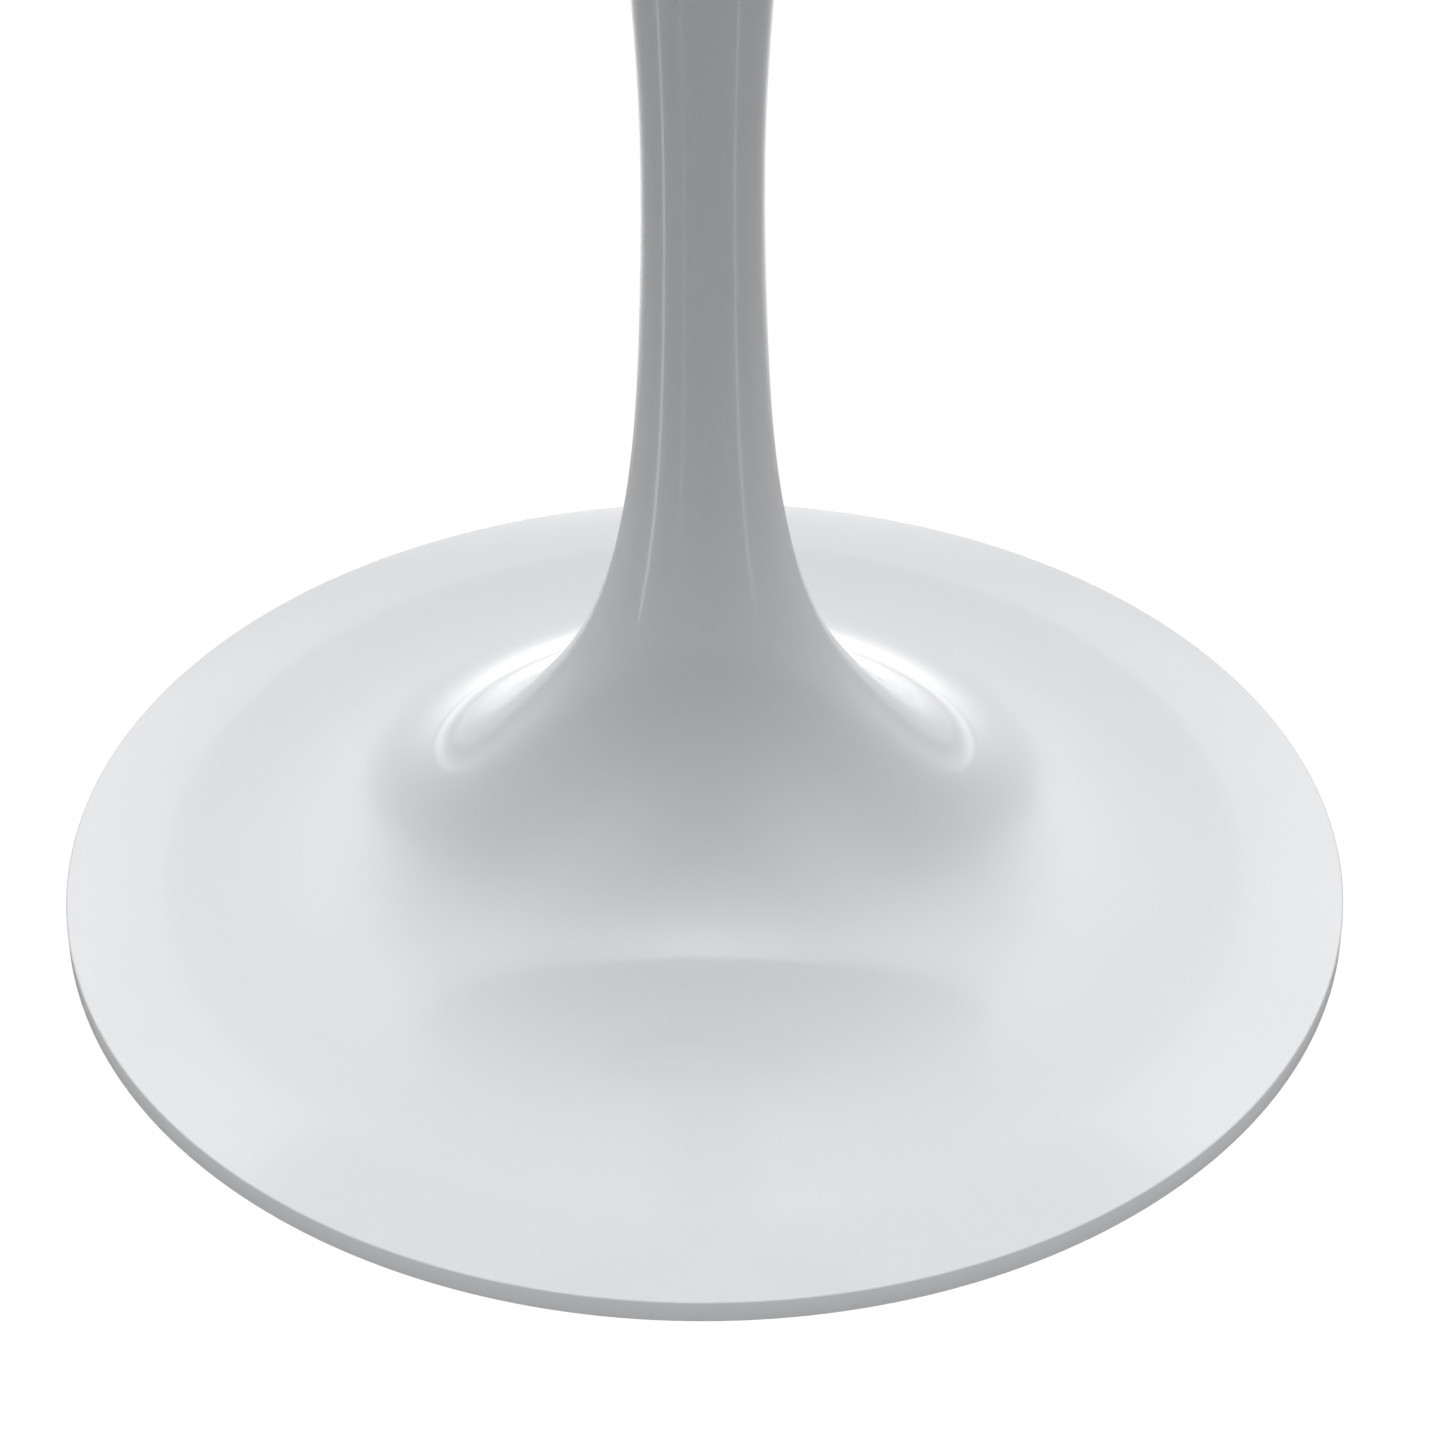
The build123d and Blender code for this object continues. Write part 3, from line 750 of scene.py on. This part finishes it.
accessCap = {
    "flange": 0.001, "plug": 0.0219, "wall": 0.0015, "floor": 0.0006, "soft": 0.0004,
    "dish": 0.0005, "dishEdge": (0.0175, 0.0185), "pip": (0.006, 0.0065), "pipRise": 0.0001,
    "rimCurve": (2, 0.6, 0.3),  # how far the softened rim reaches in, of its softness
    "snap": [(0, 0.0016), (0.00008, 0.0011), (-0.0005, 0)],  # out from the plug and down from its end
    "innerSoft": 0.0004, "steps": 64,
}


def makeAccessCap(s):
    low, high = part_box("access_cap")
    r, z0, z1 = high.x, low.z, high.z
    seat, soft, dish = z0 + s["flange"], s["soft"], z0 + s["dish"]
    plug, inner, innerFloor = s["plug"], s["plug"] - s["wall"], seat + s["floor"]
    shallow, innerSoft = dish - s["pipRise"], s["innerSoft"]
    rimStart, rimMiddle, rimRise = (soft * part for part in s["rimCurve"])
    under = [(0, dish), (s["pip"][0], dish), (s["pip"][1], shallow), (s["dishEdge"][0], shallow),
             (s["dishEdge"][1], z0)]
    rim = [(r - rimStart, z0), (r - rimMiddle, z0 + rimRise), (r, z0 + soft), (r, seat), (plug, seat)]
    snap = [(plug + out, z1 - down) for out, down in s["snap"]]
    hollow = [(inner, z1), (inner, innerFloor + innerSoft), (inner - innerSoft, innerFloor), (0, innerFloor)]
    bm = bmesh.new()
    spinOutline(bm, under + rim + snap + hollow, s["steps"], closed=False)
    finishPiece(bm, "capMoulded", "table", "black_plastic", ["access_cap"])


makeAccessCap(accessCap)
print("cap made")


# the levelling feet: a threaded stud with a hexagonal collar, and a nylon pad that turns on its end

foot = {
    "ring": (0.230, 4, 45),
    "stud": 0.004, "studCut": 0.0001, "pitch": 0.00125, "threadDepth": 0.5, "threadStart": 0.0002,
    "threadEnd": 0.0004, "plain": 0.0003, "runOut": 0.0008, "point": 0.0007, "pointWidth": 0.72,
    "socket": 0.005, "socketTop": 0.0022, "soft": 0.0003, "studSteps": 32,
    "collar": 0.013, "collarBottom": 0.003, "collarTop": 0.0045, "collarBevel": 0.00025,
    "padSoft": 0.0006, "rib": 0.00035, "neck": 0.00405, "play": 0.00005, "socketFloor": 0.0012, "padSteps": 56,
    "soleRings": (0.0035, 0.0065, 0.0095),  # shallow rings moulded on the sole
    "soleRingEdges": (-0.0008, -0.0005, 0.0010, 0.0013),
}


def makeStud(s, number, spot):
    low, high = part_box(f"foot_stud_{number}")
    z0, z1 = low.z, high.z
    core, neck = s["stud"] - s["pitch"] * s["threadDepth"], s["stud"] - s["studCut"]
    socket, soft, collarTop = s["socket"], s["soft"], s["collarTop"]
    bm = bmesh.new()
    spinOutline(bm, [(0, z0), (socket - soft, z0), (socket, z0 + soft), (socket, s["socketTop"]),
                     (neck, s["socketTop"]), (neck, collarTop + s["plain"]), (core, collarTop + s["runOut"]),
                     (core, z1 - s["point"]), (core * s["pointWidth"], z1), (0, z1)], s["studSteps"], closed=False)
    addThread(bm, core - sunk, s["stud"], s["pitch"], collarTop + s["threadStart"], z1 - s["threadEnd"])
    addHexagon(bm, s["collar"], s["collarBottom"], collarTop, s["collarBevel"])
    placeRound(bm, spot)
    finishPiece(bm, f"studThreaded_{number}", f"stud_{number}", "zinc_steel", [f"foot_stud_{number}"], sharpAngle=25)


def makePad(s, number, spot):
    low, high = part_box(f"foot_pad_{number}")
    r, z0, z1 = (high.x - low.x) / 2, low.z, high.z
    soft, rib = s["padSoft"], z0 + s["rib"]
    wear = [(0, rib)]
    for ring in s["soleRings"]:
        wear += [(ring + out, z) for out, z in zip(s["soleRingEdges"], (rib, z0, z0, rib))]
    edge = arc((r - soft, z0 + soft), soft, -90, 0, 5) + arc((r - soft, z1 - soft), soft, 0, 90, 5)
    socket, roof = s["socket"] + s["play"], s["socketTop"] + s["play"]
    hollow = [(s["neck"], z1), (s["neck"], roof), (socket, roof), (socket, s["socketFloor"]), (0, s["socketFloor"])]
    bm = bmesh.new()
    spinOutline(bm, wear + edge + hollow, s["padSteps"], closed=False)
    placeRound(bm, spot)
    finishPiece(bm, f"padMoulded_{number}", f"foot_{number}", "grey_nylon", [f"foot_pad_{number}"])


footRadius, footCount, firstFoot = foot["ring"]
for number in range(1, footCount + 1):
    spot = (footRadius, 1, firstFoot + 360 / footCount * (number - 1))
    makeStud(foot, number, spot)
    makePad(foot, number, spot)
print("feet made")


# studio: a pale floor under a ring of soft light, bright behind the table and darker towards the camera

studio = {
    "floorRadius": 9.0,
    "floorTone": (0.34, 0.34, 0.34, 1),
    # the floor's colour behind the table is lighter than in front: painted light for the bright floor behind, seen in
    # the base's gloss and bounce
    "floorPaintedLightBehind": (0.7, 0.7, 0.7, 1),
    "floorLift": (0.10, 1.5),  # light of the floor's own in front, so the underside is not black, and behind
    "toneChanges": (0.28, 0.75),  # metres behind the table between which the floor's colour turns lighter, painted light for the brightly lit floor there
    "toneEnds": (0.75, 0.30),  # metres to either side between which it does so too
    "floorGlow": 1.02,  # how the floor and the room look straight into the camera
    "brightest": 3.4,
    # light by height above the horizon in degrees, as parts of the brightest: in front of the table, to its sides,
    # at its back, narrowly behind it and in the back's two corners
    "front": [(0, 0), (40, 0.08), (44, 0.42), (48, 0.68), (53, 1.1), (58, 1.3), (64, 1.15), (72, 0.55), (88, 0.32)],
    "side": [(16, 0.01), (24, 0.155), (32, 0.4), (38, 0.55), (42, 0.61), (46, 0.68), (50, 0.74), (54, 0.66),
             (58, 0.5), (64, 0.3), (72, 0.08), (88, 0)],
    "back": [(0, 0.21), (8, 0.16), (16, 0.22), (24, 0.3), (32, 0.26), (38, 0.25), (42, 0.2), (50, 0.3), (54, 0.15),
             (58, 0.03), (64, 0)],
    "behind": [(0, 1.5), (4, 1.3), (8, 0.8), (12, 0.3), (16, 0.06), (22, 0)],
    "behindTightness": 16,
    "backCorners": [(16, 0), (24, 0.38), (34, 0.42), (44, 0.34), (54, 0.3), (60, 0)],
    "cornerTightness": 4,
    "cornerGain": 12.2,  # brings the corners' weight to one where it is highest
    "rightSide": 1.04,
    # thin strips of light flat on the floor that only show as lines in the stem's gloss: angle from the camera's
    # side, strength
    "strips": [(-74, 0.2), (-34, 0.05), (59, 0.11)],
    "stripStart": 0.33,
    "stripLength": 0.6,
    "stripWidth": 0.04,
    "stripHeight": 0.003,
}


def lightByHeight(tree, height, stops):
    ramp = addNode(tree, "ShaderNodeValToRGB")
    ramp.color_ramp.interpolation = "EASE"
    marks = ramp.color_ramp.elements
    while len(marks) > 1:
        marks.remove(marks[-1])
    for i, (angle, part) in enumerate(stops):
        mark = marks[0] if i == 0 else marks.new(angle / 90)
        mark.position = angle / 90
        mark.color = (part, part, part, 1)
    tree.links.new(height, ramp.inputs["Fac"])
    return ramp.outputs["Color"]


def makeRoom(s):
    world = bpy.data.worlds.new("studio")
    world.use_nodes = True
    tree = world.node_tree
    tree.nodes.clear()
    coord = addNode(tree, "ShaderNodeTexCoord")
    split = addNode(tree, "ShaderNodeSeparateXYZ")
    tree.links.new(coord.outputs["Generated"], split.inputs[0])
    x, y, z = (split.outputs[axis] for axis in "XYZ")
    height = calculate(tree, "DIVIDE", calculate(tree, "ARCSINE", z), math.pi / 2, clamp=True)
    xx, yy = calculate(tree, "MULTIPLY", x, x), calculate(tree, "MULTIPLY", y, y)
    flat = calculate(tree, "MAXIMUM", calculate(tree, "ADD", xx, yy), hair)  # never zero straight up
    across, along = calculate(tree, "DIVIDE", xx, flat), calculate(tree, "DIVIDE", yy, flat)
    frontWeight = calculate(tree, "MULTIPLY", along, calculate(tree, "LESS_THAN", y, 0))
    backSide = calculate(tree, "GREATER_THAN", y, 0)
    backWeight = calculate(tree, "MULTIPLY", along, backSide)
    behindWeight = calculate(tree, "MULTIPLY", calculate(tree, "POWER", along, s["behindTightness"]), backSide)
    toRight = calculate(tree, "MULTIPLY", calculate(tree, "GREATER_THAN", x, 0), s["rightSide"] - 1)
    sideWeight = calculate(tree, "MULTIPLY", across, calculate(tree, "ADD", toRight, 1))
    corner = calculate(tree, "MULTIPLY", calculate(tree, "POWER", along, s["cornerTightness"]), across)
    cornerWeight = calculate(tree, "MULTIPLY", calculate(tree, "MULTIPLY", corner, s["cornerGain"]), backSide)
    total = 0
    for name, weight in (("front", frontWeight), ("side", sideWeight), ("back", backWeight), ("behind", behindWeight),
                         ("backCorners", cornerWeight)):
        share = calculate(tree, "MULTIPLY", lightByHeight(tree, height, s[name]), weight)
        total = calculate(tree, "ADD", share, total)
    strength = calculate(tree, "MULTIPLY", total, s["brightest"])
    light = addNode(tree, "ShaderNodeBackground")
    tree.links.new(strength, light.inputs["Strength"])
    plain = addNode(tree, "ShaderNodeBackground")
    setInputs(plain, Color=(1, 1, 1, 1), Strength=s["floorGlow"])
    path = addNode(tree, "ShaderNodeLightPath")
    mix = addNode(tree, "ShaderNodeMixShader")
    out = addNode(tree, "ShaderNodeOutputWorld")
    tree.links.new(path.outputs["Is Camera Ray"], mix.inputs["Fac"])
    tree.links.new(light.outputs[0], mix.inputs[1])
    tree.links.new(plain.outputs[0], mix.inputs[2])
    tree.links.new(mix.outputs[0], out.inputs["Surface"])
    bpy.context.scene.world = world


def makeFloor(s):
    bm = bmesh.new()
    bmesh.ops.create_circle(bm, cap_ends=True, segments=96, radius=s["floorRadius"])
    mesh = bpy.data.meshes.new("floor")
    bm.to_mesh(mesh)
    bm.free()
    floor = bpy.data.objects.new("floor", mesh)
    bpy.context.scene.collection.objects.link(floor)
    mat, tree = newMaterial("paleFloor")
    diffuse = addNode(tree, "ShaderNodeBsdfDiffuse")
    lift = addNode(tree, "ShaderNodeEmission")
    lifted = addNode(tree, "ShaderNodeAddShader")
    split = addNode(tree, "ShaderNodeSeparateXYZ")
    tree.links.new(addNode(tree, "ShaderNodeTexCoord").outputs["Object"], split.inputs[0])
    parts = []
    for value, ends in ((split.outputs["Y"], s["toneChanges"]),
                        (calculate(tree, "ABSOLUTE", split.outputs["X"]), s["toneEnds"])):
        part = addNode(tree, "ShaderNodeMapRange", interpolation_type="SMOOTHSTEP")
        tree.links.new(value, part.inputs["Value"])
        part.inputs["From Min"].default_value, part.inputs["From Max"].default_value = ends
        parts.append(part.outputs["Result"])
    # behind the table the floor's colour is painted lighter (painted light), and its glow rises there too
    lighter = calculate(tree, "MULTIPLY", *parts)
    tone = addNode(tree, "ShaderNodeMix", data_type="RGBA")
    tree.links.new(lighter, tone.inputs["Factor"])
    tone.inputs[6].default_value, tone.inputs[7].default_value = s["floorTone"], s["floorPaintedLightBehind"]
    tree.links.new(tone.outputs[2], diffuse.inputs["Color"])
    shine = addNode(tree, "ShaderNodeMix", data_type="FLOAT")
    tree.links.new(lighter, shine.inputs["Factor"])
    shine.inputs[2].default_value, shine.inputs[3].default_value = s["floorLift"]
    tree.links.new(shine.outputs[0], lift.inputs["Strength"])
    glow = addNode(tree, "ShaderNodeEmission")
    setInputs(glow, Strength=s["floorGlow"])
    path = addNode(tree, "ShaderNodeLightPath")
    mix = addNode(tree, "ShaderNodeMixShader")
    under = addNode(tree, "ShaderNodeMixShader")  # seen from below the floor is not there
    clear = addNode(tree, "ShaderNodeBsdfTransparent")
    side = addNode(tree, "ShaderNodeNewGeometry")
    out = addNode(tree, "ShaderNodeOutputMaterial")
    tree.links.new(path.outputs["Is Camera Ray"], mix.inputs["Fac"])
    tree.links.new(diffuse.outputs[0], lifted.inputs[0])
    tree.links.new(lift.outputs[0], lifted.inputs[1])
    tree.links.new(lifted.outputs[0], mix.inputs[1])
    tree.links.new(glow.outputs[0], mix.inputs[2])
    tree.links.new(side.outputs["Backfacing"], under.inputs["Fac"])
    tree.links.new(mix.outputs[0], under.inputs[1])
    tree.links.new(clear.outputs[0], under.inputs[2])
    tree.links.new(under.outputs[0], out.inputs["Surface"])
    mesh.materials.append(mat)


def addStrip(s, angle, strength):
    data = bpy.data.lights.new("strip", "AREA")
    data.shape = "RECTANGLE"
    data.size, data.size_y = s["stripWidth"], s["stripLength"]
    data.energy = strength
    obj = bpy.data.objects.new("strip", data)
    turn, away = math.radians(angle), s["stripStart"] + s["stripLength"] / 2
    obj.location = (math.sin(turn) * away, -math.cos(turn) * away, s["stripHeight"])
    obj.rotation_euler = (math.pi, 0, turn)
    obj.visible_camera = obj.visible_diffuse = False
    bpy.context.scene.collection.objects.link(obj)


makeRoom(studio)
makeFloor(studio)
for angle, strength in studio["strips"]:
    addStrip(studio, angle, strength)
scene = bpy.context.scene
scene.view_settings.view_transform = "Standard"
scene.view_settings.look = "None"
print("studio lit")
